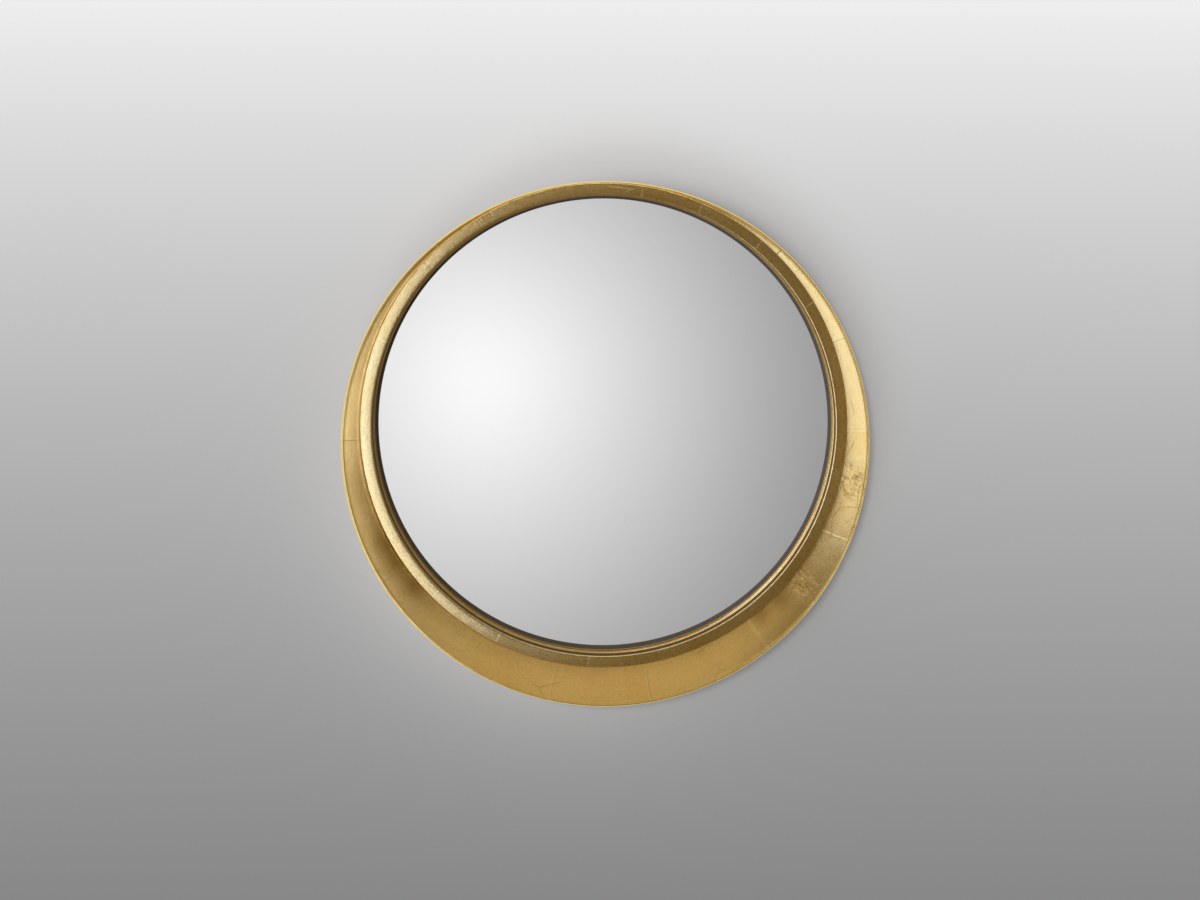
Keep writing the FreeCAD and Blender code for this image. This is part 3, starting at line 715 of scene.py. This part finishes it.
# lamps that only gilding sees: pieces, direction across and up in degrees, spans, level, colour
softboxes = {
    "ringLeft": ("ring", (-31, -3), (24, 60), 1.1, (1.0, 1.45, 3.1)),
    "ringRight": ("ring", (36, -6), (18, 26), 0.16, (1.0, 0.9, 0.8)),
    "ringTop": ("ring", (0, 30), (40, 16), 0.1, (1.0, 1.0, 1.4)),
    "ringFarLeft": ("ring", (-60, 12), (34, 74), 2.0, (1.0, 1.5, 3.6)),
    "ringFarTop": ("ring", (0, 60), (60, 30), 1.5, (1.0, 1.35, 2.4)),
    "slipLeft": ("slip", (-30, 22), (60, 56), 1.7, (1.0, 1.35, 2.6)),
    "dishLeft": ("dish", (-32, -18), (26, 40), 1.15, (1.0, 1.36, 2.6)),
    "dishRight": ("dish", (39, -2), (26, 28), 0.6, (1.0, 1.15, 1.7)),
    "dishRightLow": ("dish", (39, -28), (26, 26), 0.8, (1.0, 1.2, 1.8)),
    "dishTop": ("dish", (5, 18), (38, 22), 0.42, (1.0, 0.99, 0.95)),
    "dishFront": ("dish", (1, -7), (22, 20), 0.42, (1.0, 0.95, 0.75)),
}
# soft suns that only the wall sees: off axis, round from +X, spread in degrees, level
wallSuns = {"keySun": (15, 125, 12, 1.2), "fillSun": (46, 238, 30, 0.34)}


def direction(polar, around):
    # off the mirror's axis towards the viewer, turned round from +X towards +Z
    polar, around = math.radians(polar), math.radians(around)
    return Vector((math.sin(polar) * math.cos(around), -math.cos(polar),
                   math.sin(polar) * math.sin(around)))


def makeCamera():
    side, lift = math.radians(studio["side"]), math.radians(studio["lift"])
    back = Vector((math.sin(side) * math.cos(lift), -math.cos(side) * math.cos(lift), math.sin(lift)))
    right = Vector((0, 0, 1)).cross(back).normalized()
    up = back.cross(right)
    roll = math.radians(studio["roll"])
    right, up = (right * math.cos(roll) - up * math.sin(roll),
                 up * math.cos(roll) + right * math.sin(roll))
    dishCentre = Vector((0, -dish["rim"] * mm, 0))
    width, height = studio["photo"]
    shiftRight = studio["dishAt"][0] - width / 2
    shiftUp = height / 2 - studio["dishAt"][1]
    place = dishCentre + back * studio["distance"]
    place -= (right * shiftRight + up * shiftUp) * studio["pixel"]
    camera = bpy.data.objects.new("camera", bpy.data.cameras.new("camera"))
    camera.matrix_world = Matrix.Translation(place) @ Matrix((right, up, back)).transposed().to_4x4()
    camera.data.sensor_width = studio["sensor"]
    camera.data.lens = studio["sensor"] * studio["distance"] / (width * studio["pixel"])
    camera.data.clip_end = 100
    bpy.context.scene.collection.objects.link(camera)
    bpy.context.scene.camera = camera
    return up


def makeWorld():
    # a grey room in front, and pale walls at the sides and behind
    world = bpy.data.worlds.new("studio")
    world.use_nodes = True
    bpy.context.scene.world = world
    shade = Shader(world.node_tree)
    ray = shade.node("ShaderNodeTexCoord", output="Generated")
    across, depth, rise = shade.parts(ray)
    degrees = shade.maths("ARCCOSINE", depth * -1) * (180 / math.pi)
    start, end, pale = studio["sides"]
    front = across * studio["fillAcross"] + studio["fill"]
    low, high = studio["dimSides"]
    tiltAcross, tiltUp = studio["tilt"]
    beside = (rise * tiltUp + across * tiltAcross).between(-tiltUp, tiltUp, low, high)
    behind = degrees.between(*studio["behind"])
    side = degrees.between(start, end)
    light = front * (1 - side) + side * (beside * (1 - behind) + behind * pale)
    seen = shade.node("ShaderNodeLightPath", output="Is Camera Ray")
    grey = shade.joined(light, light, light)
    colour = shade.mixed(grey, (studio["paper"],) * 3, seen)
    background = shade.node("ShaderNodeBackground", None, {"Color": colour, "Strength": 1.0})
    shade.node("ShaderNodeOutputWorld", None, {"Surface": background})


def makeGlow(group):
    # a big soft lamp up and to the left, which only the glass shows
    far, half = studio["glowFar"]
    towards = direction(*studio["glow"])
    lamp = addLight("glassGlow", "AREA", towards, group, far)
    lamp.shape = "SQUARE"
    lamp.size = half * 2
    lamp.energy = math.pi * lamp.size ** 2
    lamp.use_nodes = True
    shade = Shader(lamp.node_tree)
    place = shade.node("ShaderNodeNewGeometry", output="Parametric")
    across, rise, depth = shade.parts(place)
    across, rise = (across - 0.5) * (half * 2 / far), (rise - 0.5) * (half * 2 / far)
    degrees = shade.maths("ARCTANGENT", across.hypot(rise)) * (180 / math.pi)
    level = None
    for spread, strength in (studio["glowCore"], studio["glowHalo"]):
        fall = degrees * (1 / spread)
        part = shade.maths("EXPONENT", fall * fall * -1) * strength
        level = part if level is None else level + part
    shine = shade.node("ShaderNodeEmission", None, {"Strength": level})
    shade.node("ShaderNodeOutputLight", None, {"Surface": shine})


stage = {"span": 3.0, "drop": -1.3, "standOff": 0.0006, "floorFront": -4.5}  # in metres


def makeStage(up):
    # wall and floor, seen only by the camera, so that the mirror's back stays open to the light
    span, drop, back, front = (stage[key] for key in ("span", "drop", "standOff", "floorFront"))
    wall = newMesh("wall", [(-span, back, drop), (span, back, drop),
                            (span, back, span), (-span, back, span)], [(0, 1, 2, 3)])
    floor = newMesh("floor", [(-span, front, drop), (span, front, drop),
                              (span, back, drop), (-span, back, drop)], [(0, 1, 2, 3)])
    for flag in ("visible_diffuse", "visible_glossy", "visible_transmission", "visible_shadow"):
        setattr(wall, flag, False)
        setattr(floor, flag, False)
    material, shade = newFinish("wallPaint")
    spot = shade.place()
    rise = shade.node("ShaderNodeVectorMath", {"operation": "DOT_PRODUCT"},
                      {0: spot, 1: tuple(up)}, 1)
    # its light grows towards the top of the picture
    base, scale, rate, top = studio["wallFall"]
    level = (shade.maths("EXPONENT", rise * rate) * scale + base).least(top)
    colour = shade.joined(level, level, level)
    # painted light that the dish throws to the lower left, and painted narrow shadows to the right
    # and below
    x, y, z = shade.parts(spot)
    radius = x.hypot(z)
    beyond = (radius / mm - dish["radius"]).most(0)
    for around, narrow, reach, share, tone in studio["paintedWallLight"]:
        turn = math.radians(around)
        facing = ((x * math.cos(turn) + z * math.sin(turn)) / radius).most(0).power(narrow)
        mark = shade.maths("EXPONENT", beyond * (-1 / reach)) * facing * share
        colour = shade.mixed(colour, (tone, tone, tone), mark)
    fleck = shade.grain(spot, 700, 2)
    colour = shade.mixed(colour, (1, 1, 1), shade.maths("ABSOLUTE", fleck - 0.5) * 0.02)
    shown = shade.mixed((0, 0, 0), colour, studio["wallTone"])
    lit = shade.node("ShaderNodeBsdfDiffuse", None, {"Color": shown})
    even = shade.node("ShaderNodeEmission", None, {"Color": colour})
    paintShader = shade.node("ShaderNodeMixShader", None, {0: studio["wallEven"], 1: lit, 2: even})
    clear = shade.node("ShaderNodeBsdfTransparent")
    behind = shade.node("ShaderNodeNewGeometry", output="Backfacing")
    surface = shade.node("ShaderNodeMixShader", None, {0: behind, 1: paintShader, 2: clear})
    shade.node("ShaderNodeOutputMaterial", None, {"Surface": surface})
    wall.data.materials.append(material)
    floorPaint, shade = newFinish("floorPaint")
    grit = shade.grain(shade.place(), 60, 3)
    colour = shade.mixed((0.50, 0.50, 0.50), (0.56, 0.56, 0.56), grit)
    shade.finish(Base_Color=colour, Roughness=0.6)
    floor.data.materials.append(floorPaint)
    return wall


def receivers(name, *pieces):
    group = bpy.data.collections.new(name)
    for piece in pieces:
        group.objects.link(piece)
    return group


def addLight(name, kind, towards, group, distance=studio["lampDistance"], ownShadows=False):
    lamp = bpy.data.lights.new(name, kind)
    holder = bpy.data.objects.new(name, lamp)
    holder.location = towards * distance
    holder.rotation_euler = towards.to_track_quat("Z", "Y").to_euler()
    holder.visible_camera = False
    bpy.context.scene.collection.objects.link(holder)
    holder.light_linking.receiver_collection = group
    if ownShadows:
        holder.light_linking.blocker_collection = group
    return lamp


up = makeCamera()
makeWorld()
wall = makeStage(up)
gilded = {
    "dish": receivers("dishOnly", dishPiece),
    "ring": receivers("ringOnly", ringPiece),
    "slip": receivers("slipOnly", slipPiece),
}
backdrop = receivers("backdrop", wall)
makeGlow(receivers("glassOnly", glassPiece))
boxDistance = studio["lampDistance"]
for name, (pieces, (across, rise), spans, level, colour) in softboxes.items():
    towards = Vector((math.tan(math.radians(across)), -1, math.tan(math.radians(rise)))).normalized()
    lamp = addLight(name, "AREA", towards, gilded[pieces], ownShadows=True)
    lamp.shape = "RECTANGLE"
    lamp.size, lamp.size_y = (2 * boxDistance * math.tan(math.radians(span / 2)) for span in spans)
    lamp.energy = level * math.pi * lamp.size * lamp.size_y
    lamp.color = colour
for name, (polar, around, spread, level) in wallSuns.items():
    lamp = addLight(name, "SUN", direction(polar, around), backdrop)
    lamp.angle = math.radians(spread)
    lamp.energy = level * math.pi / math.cos(math.radians(polar))
print("studio set")
